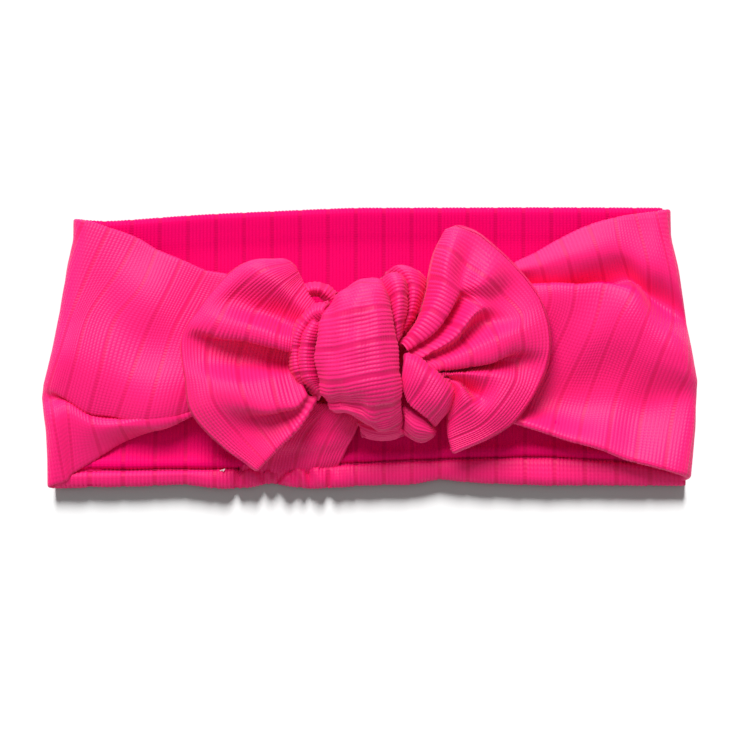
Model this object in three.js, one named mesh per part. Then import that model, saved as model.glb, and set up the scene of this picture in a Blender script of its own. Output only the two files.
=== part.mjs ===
// A wide rib-knit headband with a knotted bow, lying flat on its back.
// Millimetres. +X runs along the folded loop, +Y towards its upper edge, +Z up.
// The origin is under the middle of the loop, on the surface that it lies on.

import * as THREE from 'three';

// ---- Driving dimensions ----

// The loop of doubled cloth
const flatWidth = 229;
const bandWidth = 98;
const clothThickness = 1.4;
const clearance = 0.3;
const openingHeight = 4.8;
const sideSlant = 10.5;
const sideTaper = 2.4;
const widestY = -17;
const topEdgeDip = 4.2;
const panelRise = 4;

// The rolled lower hem, the seam and the hand-closed join
const hemDepth = 5.8;
const hemRise = 1.1;
const seamInset = 1;
const seamThread = 0.8;
const joinLeft = -47;
const joinRight = -12;
const joinPucker = 0.5;
const stitchCount = 4;
const stitchLength = 5;
const tailLength = 4;

// Where the front panels' edges meet the side folds
const leftPanelLowAtFold = -17;
const rightPleatLowAtFold = 10;
const tuckReach = 33;
const tuckTipWidth = 1.2;
const neckWidth = 27;
const neckDepth = 16;

// The knot
const knotX = -3.5;
const knotY = -2.2;
const knotWidth = 30;
const knotLength = 52;
const knotRise = 26;
const wrapThickness = 3.5;
const wrapReach = THREE.MathUtils.degToRad(18);
const neckHalfWidth = 14;
const leftRollInnerRadius = 2.2;
const leftRollOuterRadius = 2.6;
const leftRollHeight = 7;
const topFoldFrontRadius = 2.4;
const topFoldRearRadius = 2;
const topFoldFrontHeight = 10;
const topFoldRearHeight = 6;
const lowerWrapWidth = 15;
const lowerWrapDepth = 22;
const lowerWrapRise = 12;
const lobeRadius = 2.2;
const bottomTuckRadius = 1.8;
const smallLoopRadius = 1.3;

// The bow ears
const leftEarReach = 44;
const rightEarReach = 42;
const earRootRadius = 3;
const earCrown = 8;
const earRimCrown = 0.25;
const rightRimWidth = 2.4;
const rightLowerRollInner = 26;
const leafSplit = THREE.MathUtils.degToRad(168);

// ---- Sizes that follow from them ----

const halfWidth = flatWidth / 2;
const bandTop = bandWidth / 2;
const bandLow = -bandWidth / 2;

const backLiningLow = clothThickness + clearance;
const backLiningTop = backLiningLow + clothThickness;
const frontLiningLow = backLiningTop + hemRise + openingHeight;
const frontOuterLow = frontLiningLow + clothThickness + clearance;
const loopHeight = frontOuterLow + clothThickness;
const foldRadius = loopHeight / 2;
const liningEdgeY = bandLow + hemDepth;

const wrapLeft = knotX - knotWidth / 2;
const wrapRight = knotX + knotWidth / 2;
const knotTop = loopHeight + knotRise;
const coreHalfY = knotLength / 2 - wrapThickness - clearance;
const coreHalfZ = (knotTop - wrapThickness - clearance - frontLiningLow) / 2;
const coreZ = frontLiningLow + coreHalfZ;

const earBase = loopHeight + panelRise + clearance;
const leafBase = earBase + clothThickness + clearance;
const leftRollInnerX = wrapLeft - clearance - leftRollInnerRadius;
const leftRollOuterX = leftRollInnerX - leftRollInnerRadius - 2 * clearance - leftRollOuterRadius;
const leftEarRootX = leftRollOuterX - leftRollOuterRadius - clearance;
const topFoldFrontX = wrapRight + clearance + topFoldFrontRadius;
const topFoldRearX = topFoldFrontX + topFoldFrontRadius + clearance + topFoldRearRadius;
const rightEarRootX = topFoldRearX + topFoldRearRadius + clearance;

const LEFT = -1;
const RIGHT = 1;

// Steps up the band, fine enough that the flat layers follow the curved side folds.
const bandSteps = 14;

// ---- Cloth colours ----

const cloth = {
  outer: { color: 0xf2186f, roughness: 0.92 },
  lining: { color: 0xd80f5e, roughness: 0.94 },
  knot: { color: 0xf62a7c, roughness: 0.92 },
  ear: { color: 0xfa3a86, roughness: 0.92 },
  thread: { color: 0xf05590, roughness: 0.7 },
  paleThread: { color: 0xf2d8dc, roughness: 0.7 },
};

const headband = new THREE.Group();
headband.name = 'headband';

function addPiece(name, geometry, finish) {
  const material = new THREE.MeshStandardMaterial({ ...finish, metalness: 0 });
  const mesh = new THREE.Mesh(geometry, material);
  mesh.name = name;
  headband.add(mesh);
}

// ---- Making closed pieces of cloth ----

// Samples a surface given as a function of two shares, each from 0 to 1.
function sampleGrid(surface, across, along) {
  const rows = [];
  for (let i = 0; i <= across; i += 1) {
    const row = [];
    for (let j = 0; j <= along; j += 1) {
      row.push(surface(i / across, j / along));
    }
    rows.push(row);
  }
  return rows;
}

// Closes the space between an outer and an inner surface of the same grid.
function closeBetween(outerSurface, innerSurface, across, along) {
  const grids = [sampleGrid(outerSurface, across, along), sampleGrid(innerSurface, across, along)];
  const positions = grids.flat(2).flatMap((p) => [p.x, p.y, p.z]);
  const at = (side, i, j) => (side * (across + 1) + i) * (along + 1) + j;
  const triangles = [];
  const addQuad = (a, b, c, d) => triangles.push(a, b, c, a, c, d);
  for (let i = 0; i < across; i += 1) {
    for (let j = 0; j < along; j += 1) {
      addQuad(at(0, i, j), at(0, i + 1, j), at(0, i + 1, j + 1), at(0, i, j + 1));
      addQuad(at(1, i, j), at(1, i, j + 1), at(1, i + 1, j + 1), at(1, i + 1, j));
    }
  }
  for (let i = 0; i < across; i += 1) {
    addQuad(at(0, i, 0), at(1, i, 0), at(1, i + 1, 0), at(0, i + 1, 0));
    addQuad(at(0, i, along), at(0, i + 1, along), at(1, i + 1, along), at(1, i, along));
  }
  for (let j = 0; j < along; j += 1) {
    addQuad(at(0, 0, j), at(0, 0, j + 1), at(1, 0, j + 1), at(1, 0, j));
    addQuad(at(0, across, j), at(1, across, j), at(1, across, j + 1), at(0, across, j + 1));
  }
  return facingOut(positions, triangles);
}

function enclosedVolume(positions, triangles) {
  const point = (k) => new THREE.Vector3().fromArray(positions, 3 * k);
  let sum = 0;
  for (let k = 0; k < triangles.length; k += 3) {
    const [a, b, c] = [point(triangles[k]), point(triangles[k + 1]), point(triangles[k + 2])];
    sum += a.dot(b.cross(c)) / 6;
  }
  return sum;
}

function facingOut(positions, triangles) {
  const ordered = enclosedVolume(positions, triangles) < 0 ? [...triangles].reverse() : triangles;
  const geometry = new THREE.BufferGeometry();
  geometry.setAttribute('position', new THREE.Float32BufferAttribute(positions, 3));
  geometry.setIndex(ordered);
  geometry.computeVertexNormals();
  return geometry;
}

// A layer of cloth over a plan: the surface gives its top, and it hangs down by its thickness.
function clothLayer(topSurface, thickness, across = 8, along = 6) {
  const lower = (u, v) => topSurface(u, v).add(new THREE.Vector3(0, 0, -thickness));
  return closeBetween(topSurface, lower, across, along);
}

// A full pad over a plan, with a flat underside.
function clothPad(topSurface, underside, across = 8, along = 6) {
  const lower = (u, v) => topSurface(u, v).setZ(underside);
  return closeBetween(topSurface, lower, across, along);
}

// A roll of cloth or a thread along a smooth path.
function clothRoll(points, radius, steps = 10, sides = 8) {
  const section = new THREE.Shape();
  section.absarc(0, 0, radius, 0, 2 * Math.PI);
  const path = new THREE.CatmullRomCurve3(points.map((p) => new THREE.Vector3(...p)));
  return new THREE.ExtrudeGeometry(section, { extrudePath: path, steps, curveSegments: sides / 2 });
}

const between = THREE.MathUtils.lerp;
const bump = (share) => Math.sin(Math.PI * share);

// A smooth curve through evenly spaced heights.
function smoothThrough(values, share) {
  const curve = new THREE.SplineCurve(values.map((v, k) => new THREE.Vector2(k, v)));
  return curve.getPoint(share).y;
}

// ---- The outline of the folded loop ----

// How far the side fold reaches out at a height on the band.
function sideReach(y) {
  const above = (y - widestY) / (bandTop - widestY);
  const below = (widestY - y) / (widestY - bandLow);
  return y > widestY ? halfWidth - sideSlant * above ** 1.3 : halfWidth - sideTaper * below ** 2;
}

// The flat cloth ends here, where the side fold begins.
const flatEnd = (y) => sideReach(y) - foldRadius - clearance;

// The upper edge sinks a little towards the left.
const upperEdge = (x) => bandTop - topEdgeDip * Math.max(0, -x / halfWidth);

// ---- The back of the loop ----

function backSurface(height, lowY) {
  return (u, v) => {
    const nearY = between(lowY, bandTop, v);
    const x = between(-flatEnd(nearY), flatEnd(nearY), u);
    return new THREE.Vector3(x, between(lowY, upperEdge(x), v), height);
  };
}

function hemStretch(fromX, toX, rise) {
  const low = bandLow;
  const high = liningEdgeY - clearance;
  return (u, v) => {
    const y = between(low, high, v);
    const x = between(fromX(y), toX(y), u);
    return new THREE.Vector3(x, y, backLiningTop + hemRise * rise(u) * (0.4 + 0.6 * bump(v)));
  };
}

function buildBack() {
  const outerTop = backSurface(clothThickness, bandLow);
  const liningTop = backSurface(backLiningTop, liningEdgeY);
  addPiece('back_outer_layer', clothLayer(outerTop, clothThickness, 8, bandSteps), cloth.outer);
  addPiece('back_lining', clothLayer(liningTop, clothThickness, 8, bandSteps), cloth.lining);
  const even = () => 1;
  const puckered = (u) => 1 - joinPucker * bump(3 * u) ** 2;
  const leftHem = hemStretch((y) => -flatEnd(y), () => joinLeft - clearance, even);
  const rightHem = hemStretch(() => joinRight + clearance, flatEnd, even);
  const join = hemStretch(() => joinLeft, () => joinRight, puckered);
  addPiece('hem_roll_left', clothPad(leftHem, backLiningLow, 6, 4), cloth.outer);
  addPiece('hem_roll_right', clothPad(rightHem, backLiningLow, 10, 4), cloth.outer);
  addPiece('closing_gather', clothPad(join, backLiningLow, 12, 4), cloth.outer);
}

function buildSeam() {
  const radius = seamThread / 2;
  const z = backLiningTop + clearance + radius;
  const y = liningEdgeY + seamInset;
  const end = flatEnd(y) - clearance;
  addPiece('long_seam_left', clothRoll([[-end, y, z], [joinLeft - seamThread, y, z]], radius), cloth.thread);
  addPiece('long_seam_right', clothRoll([[joinRight + seamThread, y, z], [end, y, z]], radius), cloth.thread);
  for (let k = 0; k < stitchCount; k += 1) {
    const x = between(joinLeft, joinRight, (k + 0.5) / stitchCount);
    const stitch = [[x - 1, liningEdgeY + clearance, z], [x + 1, liningEdgeY + clearance + stitchLength, z]];
    addPiece(`closing_stitch_${k + 1}`, clothRoll(stitch, radius, 3), cloth.thread);
  }
  const tailX = joinLeft - 5;
  const tailY = y + seamThread + clearance;
  const tailEnd = [tailX + 3, tailY + tailLength, z];
  const tail = [[tailX, tailY, z], [tailX + 1, tailY + tailLength / 2, z], tailEnd];
  addPiece('thread_tail', clothRoll(tail, radius, 4), cloth.paleThread);
}

// ---- The side folds ----

// Half a turn of cloth from the back layer round to the front layer.
function foldSurface(side, radius) {
  return (u, v) => {
    const angle = between(-Math.PI / 2, Math.PI / 2, u);
    const end = side === LEFT ? upperEdge(-halfWidth) : bandTop;
    const y = between(bandLow, end, v);
    const centre = sideReach(y) - foldRadius;
    const x = side * (centre + radius * Math.cos(angle));
    return new THREE.Vector3(x, y, foldRadius + radius * Math.sin(angle));
  };
}

function buildSideFold(side, name) {
  const layers = [['outer', foldRadius, cloth.outer]];
  layers.push(['lining', foldRadius - clothThickness - clearance, cloth.lining]);
  for (const [layer, radius, finish] of layers) {
    const inner = foldSurface(side, radius - clothThickness);
    const shell = closeBetween(foldSurface(side, radius), inner, 10, bandSteps);
    addPiece(`${name}_fold_${layer}`, shell, finish);
  }
}

// ---- The front panels ----

// A panel between two edge curves, from its side fold (u = 0) to the knot (u = 1).
function panelSurface(side, lowEdge, highEdge, innerX, height) {
  return (u, v) => {
    const yAtFold = between(lowEdge[0], highEdge[0], v);
    const x = between(side * flatEnd(yAtFold), innerX, u);
    const y = between(smoothThrough(lowEdge, u), smoothThrough(highEdge, u), v);
    return new THREE.Vector3(x, y, height + panelRise * u ** 2);
  };
}

function buildLeftPanel() {
  const top = upperEdge(-halfWidth);
  const low = [leftPanelLowAtFold, leftPanelLowAtFold - 6, leftPanelLowAtFold - 8, knotY - neckHalfWidth];
  const high = [top, between(top, knotY, 0.16), between(top, knotY, 0.42), knotY + neckHalfWidth];
  const innerX = wrapLeft - clearance;
  const lining = panelSurface(LEFT, low, high, innerX, frontLiningLow + clothThickness);
  const outer = panelSurface(LEFT, low, high, innerX, loopHeight);
  addPiece('left_panel_lining', clothLayer(lining, clothThickness, 8, bandSteps), cloth.lining);
  addPiece('left_panel_outer', clothLayer(outer, clothThickness, 8, bandSteps), cloth.outer);

  const tuckEnd = -flatEnd(leftPanelLowAtFold) + tuckReach;
  const tuckHigh = low[0] - clearance - 1;
  const tuck = (u, v) => {
    const reach = between(bandLow, tuckHigh, v);
    const x = between(-flatEnd(reach), tuckEnd, u);
    const upper = tuckHigh - 7 * u;
    const lower = between(bandLow, tuckHigh - 7 - tuckTipWidth, u);
    return new THREE.Vector3(x, between(lower, upper, v), frontOuterLow);
  };
  addPiece('left_panel_tuck', clothLayer(tuck, clothThickness, 8, bandSteps), cloth.outer);
}

function buildLeftNeck() {
  const highY = knotY - neckHalfWidth - 5 * clearance;
  const rightX = wrapLeft + 8;
  const neck = (u, v) => {
    const spread = between(0.75, 1, v);
    const x = between(rightX - neckWidth * spread, rightX, u);
    return new THREE.Vector3(x, highY - neckDepth * v - 6, frontOuterLow - clearance);
  };
  addPiece('left_neck', clothLayer(neck, clothThickness), cloth.outer);
}

function buildRightPanel() {
  const splitEnd = knotY + neckHalfWidth - 4;
  const split = [rightPleatLowAtFold, rightPleatLowAtFold + 11, rightPleatLowAtFold + 10, splitEnd];
  const low = [bandLow, bandLow + 13, bandLow + 22, knotY - neckHalfWidth];
  const pleatLow = split.map((y) => y + clearance + 0.5);
  const pleatHigh = [bandTop, bandTop - 9, bandTop - 21, knotY + neckHalfWidth];
  const innerX = wrapRight + clearance;
  const liningTop = frontLiningLow + clothThickness;
  const lining = panelSurface(RIGHT, low, pleatHigh, innerX, liningTop);
  addPiece('right_panel_lining', clothLayer(lining, clothThickness, 8, bandSteps), cloth.lining);
  const outer = panelSurface(RIGHT, low, split, innerX, loopHeight);
  addPiece('right_panel_outer', clothLayer(outer, clothThickness, 8, bandSteps), cloth.outer);
  const pleat = panelSurface(RIGHT, pleatLow, pleatHigh, innerX, loopHeight);
  addPiece('right_upper_pleat', clothLayer(pleat, clothThickness, 8, bandSteps), cloth.outer);
}

// ---- The knot ----

function wrapSurface(halfY, halfZ) {
  return (u, v) => {
    const angle = between(-wrapReach, Math.PI + wrapReach, u);
    const x = between(wrapLeft, wrapRight, v);
    return new THREE.Vector3(x, knotY + halfY * Math.cos(angle), coreZ + halfZ * Math.sin(angle));
  };
}

function buildKnotCentre() {
  const section = new THREE.Shape();
  section.absellipse(0, 0, coreHalfY, coreHalfZ, 0, 2 * Math.PI);
  const length = { depth: knotWidth, steps: 1, bevelEnabled: false, curveSegments: 12 };
  const core = new THREE.ExtrudeGeometry(section, length);
  core.rotateX(Math.PI / 2);
  core.rotateZ(Math.PI / 2);
  core.translate(wrapLeft, knotY, coreZ);
  addPiece('knot_core', core, cloth.knot);
  const inner = wrapSurface(coreHalfY + clearance, coreHalfZ + clearance);
  const outer = wrapSurface(knotLength / 2, coreHalfZ + clearance + wrapThickness);
  addPiece('knot_wrap', closeBetween(outer, inner, 24, 3), cloth.knot);
}

function buildKnotLeft() {
  const z = earBase + leftRollHeight;
  const ox = leftRollOuterX;
  const ix = leftRollInnerX;
  const outerTop = [ox + 3, knotY + 17, z - 2];
  const outerRoll = [outerTop, [ox + 0.6, knotY + 9, z], [ox, knotY, z], [ox, knotY - 8, z - 1]];
  const innerLow = [ix, knotY - 15, z - 3];
  const innerRoll = [[ix, knotY + 9, z - 1], [ix, knotY, z - 1], [ix, knotY - 8, z - 1], innerLow];
  addPiece('knot_left_roll_outer', clothRoll(outerRoll, leftRollOuterRadius), cloth.knot);
  addPiece('knot_left_roll_inner', clothRoll(innerRoll, leftRollInnerRadius), cloth.knot);
  const loopY = knotY + 17 + leftRollOuterRadius + smallLoopRadius + clearance;
  const loop = [[ox, loopY, z - 5], [ox + 2.5, loopY + 2, z - 4], [ox + 6, loopY + 1.5, z - 4]];
  addPiece('knot_small_loop', clothRoll(loop, smallLoopRadius, 6), cloth.knot);
}

function buildKnotRight() {
  const frontZ = earBase + topFoldFrontHeight;
  const rearZ = earBase + topFoldRearHeight;
  const fx = topFoldFrontX;
  const rx = topFoldRearX;
  const front = [[fx, knotY + 26, frontZ - 4], [fx, knotY + 17, frontZ - 1], [fx, knotY + 8, frontZ]];
  const rear = [[rx, knotY + 28, rearZ - 3], [rx, knotY + 19, rearZ], [rx, knotY + 9, rearZ]];
  addPiece('knot_top_fold_front', clothRoll(front, topFoldFrontRadius), cloth.knot);
  addPiece('knot_top_fold_rear', clothRoll(rear, topFoldRearRadius), cloth.knot);

  const startX = wrapRight + clearance;
  const startY = knotY + 0.7;
  const lowerWrap = (u, v) => {
    const x = startX + lowerWrapWidth * (u - 0.12 * bump(v) * (1 - u));
    const y = startY - lowerWrapDepth * between(v * 0.8, 0.1 + 0.9 * v, u) - 3 * u * (1 - v);
    const z = earBase + 3 + lowerWrapRise * bump(v) * Math.cos(1.2 * u);
    return new THREE.Vector3(Math.max(x, startX), y, z);
  };
  addPiece('knot_lower_wrap', clothPad(lowerWrap, earBase), cloth.knot);

  const lobeZ = earBase + lobeRadius;
  const lobeY = startY - lowerWrapDepth - 3 - clearance - lobeRadius;
  const lobeStart = [startX + 1.5, lobeY + 0.4, lobeZ];
  const lobe = [lobeStart, [startX + 5, lobeY - 2.5, lobeZ], [startX + 9, lobeY, lobeZ]];
  addPiece('knot_lower_lobe', clothRoll(lobe, lobeRadius, 8), cloth.knot);

  const tuckY = knotY - knotLength / 2 - clearance - bottomTuckRadius - 0.2;
  const tuckZ = earBase + bottomTuckRadius;
  const tuckEnd = [wrapRight - 1.6, tuckY, tuckZ];
  const tuck = [[knotX + 0.5, tuckY, tuckZ], [knotX + 7, tuckY - 0.5, tuckZ], tuckEnd];
  addPiece('knot_bottom_tuck', clothRoll(tuck, bottomTuckRadius, 8), cloth.knot);
}

// ---- The bow ears ----

// An ear is a fan about its root: reach at evenly spaced angles, as shares of its full reach.
const ears = {
  left: {
    rootX: leftEarRootX,
    reach: leftEarReach,
    first: THREE.MathUtils.degToRad(93),
    last: THREE.MathUtils.degToRad(266),
    outline: [0.7, 0.75, 0.75, 0.8, 0.83, 0.93, 1, 0.78],
  },
  right: {
    rootX: rightEarRootX,
    reach: rightEarReach,
    first: THREE.MathUtils.degToRad(82),
    last: THREE.MathUtils.degToRad(-80),
    outline: [0.98, 1, 0.99, 1, 0.99, 0.97, 0.92, 0.9],
  },
};

function earPoint(ear, angle, radius, height) {
  const x = ear.rootX + radius * Math.cos(angle);
  return new THREE.Vector3(x, knotY + 2 + radius * Math.sin(angle), height);
}

function earEdge(ear, angle) {
  const share = (angle - ear.first) / (ear.last - ear.first);
  return ear.reach * smoothThrough(ear.outline, THREE.MathUtils.clamp(share, 0, 1));
}

// Half the gap between two stretches of an ear that lie side by side.
const sectorGap = clearance / 2;

// One stretch of an ear between two angles, puffed between its edges.
function earSector(ear, fromAngle, toAngle, innerRadius, rimInset, base, crown) {
  return (u, v) => {
    const edge = earEdge(ear, between(fromAngle, toAngle, u)) - rimInset;
    const radius = between(innerRadius, edge, v);
    const gap = (Math.sign(toAngle - fromAngle) * sectorGap) / radius;
    const angle = between(fromAngle + gap, toAngle - gap, u);
    const puff = bump(u) * (bump(v ** 1.4) + earRimCrown * v);
    return earPoint(ear, angle, radius, base + clothThickness + crown * puff);
  };
}

function buildLeftEar() {
  const ear = ears.left;
  const under = earSector(ear, ear.first, ear.last, earRootRadius, 0, earBase, 0);
  const upper = earSector(ear, ear.first, leafSplit, earRootRadius, 0, leafBase, earCrown);
  const lower = earSector(ear, leafSplit, ear.last, earRootRadius, 0, leafBase, earCrown);
  addPiece('left_ear_under_layer', clothLayer(under, clothThickness, 16, 3), cloth.ear);
  addPiece('left_ear_upper_leaf', clothLayer(upper, clothThickness, 8, 7), cloth.ear);
  addPiece('left_ear_lower_leaf', clothLayer(lower, clothThickness, 10, 7), cloth.ear);
}

function buildRightEar() {
  const ear = ears.right;
  const creases = [82, 52, 22, -8, -46].map(THREE.MathUtils.degToRad);
  const fanEnd = creases[creases.length - 1];
  const rim = rightRimWidth + clearance;
  const under = earSector(ear, ear.first, fanEnd, earRootRadius, 0, earBase, 0);
  addPiece('right_ear_under_layer', clothLayer(under, clothThickness, 16, 3), cloth.ear);
  for (let k = 0; k < creases.length - 1; k += 1) {
    const pleat = earSector(ear, creases[k], creases[k + 1], earRootRadius, rim, leafBase, earCrown);
    addPiece(`right_ear_pleat_${k + 1}`, clothLayer(pleat, clothThickness, 6, 7), cloth.ear);
  }
  const roll = earSector(ear, fanEnd, ear.last, rightLowerRollInner, 0, earBase, earCrown / 2);
  addPiece('right_ear_lower_roll', clothPad(roll, earBase, 5, 5), cloth.ear);

  const rimStrip = (u, v) => {
    const angle = between(ear.first, fanEnd, u);
    const radius = earEdge(ear, angle) - rightRimWidth * (1 - v);
    return earPoint(ear, angle, radius, leafBase + clothThickness);
  };
  addPiece('right_ear_rim', clothLayer(rimStrip, clothThickness, 20, 2), cloth.ear);

  const threadPath = [];
  const threadSteps = 8;
  for (let k = 0; k <= threadSteps; k += 1) {
    const angle = between(ear.first - 0.02, fanEnd + 0.02, k / threadSteps);
    const height = leafBase + clothThickness + clearance + seamThread / 2;
    threadPath.push(earPoint(ear, angle, earEdge(ear, angle) - rightRimWidth / 2, height).toArray());
  }
  addPiece('right_ear_rim_thread', clothRoll(threadPath, seamThread / 2, 24), cloth.thread);
}

buildBack();
buildSeam();
buildSideFold(LEFT, 'left');
buildSideFold(RIGHT, 'right');
buildLeftPanel();
buildLeftNeck();
buildRightPanel();
buildKnotCentre();
buildKnotLeft();
buildKnotRight();
buildLeftEar();
buildRightEar();

export default headband;
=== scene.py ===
# %% [markdown]
# # A knotted knit headband
#
# The real thing is one tube of ribbed jersey, pressed flat into a double band. Its two ends are
# pulled round, knotted at the front, and left standing out as two ears. Here each stretch of that
# cloth is a sheet of its own, drawn in the frame's own millimetres. The frame comes first, because
# every sheet stands in for some of its solids and moves with its bodies.

import math

import bpy
import numpy as np
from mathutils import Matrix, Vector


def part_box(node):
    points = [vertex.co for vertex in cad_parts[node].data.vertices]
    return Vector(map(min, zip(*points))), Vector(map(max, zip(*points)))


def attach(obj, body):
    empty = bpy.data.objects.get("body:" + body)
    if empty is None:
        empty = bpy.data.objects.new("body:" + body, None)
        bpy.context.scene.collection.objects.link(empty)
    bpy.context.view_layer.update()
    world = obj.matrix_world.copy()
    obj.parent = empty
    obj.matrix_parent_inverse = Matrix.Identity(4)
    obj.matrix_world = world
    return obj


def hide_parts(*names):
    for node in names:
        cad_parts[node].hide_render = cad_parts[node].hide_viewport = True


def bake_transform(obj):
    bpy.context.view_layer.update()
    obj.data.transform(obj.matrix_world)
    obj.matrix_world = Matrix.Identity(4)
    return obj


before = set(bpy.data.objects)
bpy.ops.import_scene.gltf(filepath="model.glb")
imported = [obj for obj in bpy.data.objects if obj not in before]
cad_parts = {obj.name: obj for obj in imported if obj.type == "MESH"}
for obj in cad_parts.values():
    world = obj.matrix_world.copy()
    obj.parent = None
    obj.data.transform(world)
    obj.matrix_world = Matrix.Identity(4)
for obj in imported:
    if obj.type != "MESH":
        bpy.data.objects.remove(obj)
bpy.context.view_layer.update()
MM = 0.001


def box_mm(node):
    low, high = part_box(node)
    return np.array(low) / MM, np.array(high) / MM


def in_scene(name, data):
    made = bpy.data.objects.new(name, data)
    bpy.context.scene.collection.objects.link(made)
    return made


# %% [markdown]
# ## Camera, floor and light
#
# The band is laid on a pale table and seen from straight above. A long lens high up keeps the
# shapes free of perspective. A broad window beyond the top edge lights the cloth, and a pale sky
# fills the rest. The table has a lower, narrower lamp of its own, which lights nothing else. Only
# the back's outer cloth blocks it, so the shadow under the lower edge is one narrow soft band.

# %% Camera
VIEW_WIDTH = 262.5
VIEW_CENTRE = (1.75, -9.6)
CAMERA_HEIGHT = 1500.0
CLOTH_HEIGHT = 10
SENSOR = 36.0
camera_data = bpy.data.cameras.new("camera")
camera_data.sensor_width = SENSOR
camera_data.lens = SENSOR * (CAMERA_HEIGHT - CLOTH_HEIGHT) / VIEW_WIDTH
camera = in_scene("camera", camera_data)
camera.location = (VIEW_CENTRE[0] * MM, VIEW_CENTRE[1] * MM, CAMERA_HEIGHT * MM)
bpy.context.scene.camera = camera
bpy.context.scene.view_settings.view_transform = "Standard"


# %% Light
def sun_lamp(name, strength, spread, tilt, swing):
    data = bpy.data.lights.new(name, "SUN")
    data.energy = strength
    data.angle = math.radians(spread)
    lamp = in_scene(name, data)
    lamp.rotation_euler = (math.radians(tilt), math.radians(swing), 0)
    return lamp


window = sun_lamp("window", strength=3.9, spread=32, tilt=-43, swing=-14)
low_window = sun_lamp("low_window", strength=14.6, spread=17, tilt=-64, swing=0)
SKY_STRENGTH = 0.42
world = bpy.data.worlds.new("room")
world.use_nodes = True
sky = world.node_tree.nodes["Background"]
sky.inputs["Color"].default_value = (1, 1, 1, 1)
sky.inputs["Strength"].default_value = SKY_STRENGTH
bpy.context.scene.world = world

# %% Floor
FLOOR_SIDE = 3.0
TABLE_GREY = 0.45
floor_mesh = bpy.data.meshes.new("floor")
half = FLOOR_SIDE / 2
floor_mesh.from_pydata(
    [(-half, -half, 0), (half, -half, 0), (half, half, 0), (-half, half, 0)], [], [(0, 1, 2, 3)]
)
floor = in_scene("floor", floor_mesh)
floor_paint = bpy.data.materials.new("pale_table")
floor_paint.use_nodes = True
floor_shader = floor_paint.node_tree.nodes["Principled BSDF"]
floor_shader.inputs["Base Color"].default_value = (TABLE_GREY, TABLE_GREY, TABLE_GREY, 1)
floor_shader.inputs["Roughness"].default_value = 0.9
floor_shader.inputs["Specular IOR Level"].default_value = 0.1
floor_mesh.materials.append(floor_paint)


def light_only(lamp, state):
    """Lets a lamp reach only the table, or everything but the table."""
    group = bpy.data.collections.new(lamp.name + " reaches")
    group.objects.link(floor)
    group.collection_objects[0].light_linking.link_state = state
    lamp.light_linking.receiver_collection = group


light_only(low_window, "INCLUDE")
light_only(window, "EXCLUDE")
shadow_makers = bpy.data.collections.new("shadow makers")
low_window.light_linking.blocker_collection = shadow_makers

# %% [markdown]
# ## The knit finish
#
# The jersey is knitted in groups of seven narrow ribs, with one flat wale between two groups. The
# ribs themselves are real relief in the mesh. The finish adds what is too small to model, and some
# light and shade: a painted highlight on the rib crests, painted shade in the flat wale, the small V
# of each stitch, and the short fuzz that catches the light. Ribs and stitches read the cloth's own
# map, where 1 is one group of ribs, so they follow each fold.

# %% Knit finish
RIBS = 7
GROOVE_SHARE = 0.125
REPEAT = 9.8
STITCHES = 11.0
# Painted highlight: how far the rib crests are lightened towards the crest colour.
RIB_CREST_HIGHLIGHT = 0.62
FUZZ_LIGHTENS = 0.45
PATCHES = 0.22


def node(tree, kind, **values):
    made = tree.nodes.new(kind)
    for key, value in values.items():
        setattr(made, key, value)
    return made


def maths(tree, operation, a, b=None, clamp=False):
    made = node(tree, "ShaderNodeMath", operation=operation, use_clamp=clamp)
    for socket, value in zip(made.inputs, (a, b)):
        if value is None:
            continue
        if isinstance(value, (int, float)):
            socket.default_value = value
        else:
            tree.links.new(value, socket)
    return made.outputs[0]


def rib_profile(tree, across, ribs, groove):
    """Height of the ribs, 0 to 1, at a place across the cloth, and 1 on the ribs, 0 in the wale."""
    place = maths(tree, "FRACT", across)
    past_wale = maths(tree, "SUBTRACT", place, maths(tree, "MULTIPLY", groove, 0.5))
    inside = maths(tree, "DIVIDE", past_wale, maths(tree, "SUBTRACT", 1.0, groove))
    on_ribs = maths(tree, "MULTIPLY", maths(tree, "GREATER_THAN", inside, 0.0),
                    maths(tree, "LESS_THAN", inside, 1.0))
    turn = maths(tree, "MULTIPLY", maths(tree, "MULTIPLY", inside, ribs), math.pi)
    wave = maths(tree, "ABSOLUTE", maths(tree, "SINE", turn))
    return maths(tree, "MULTIPLY", wave, on_ribs), on_ribs


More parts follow.
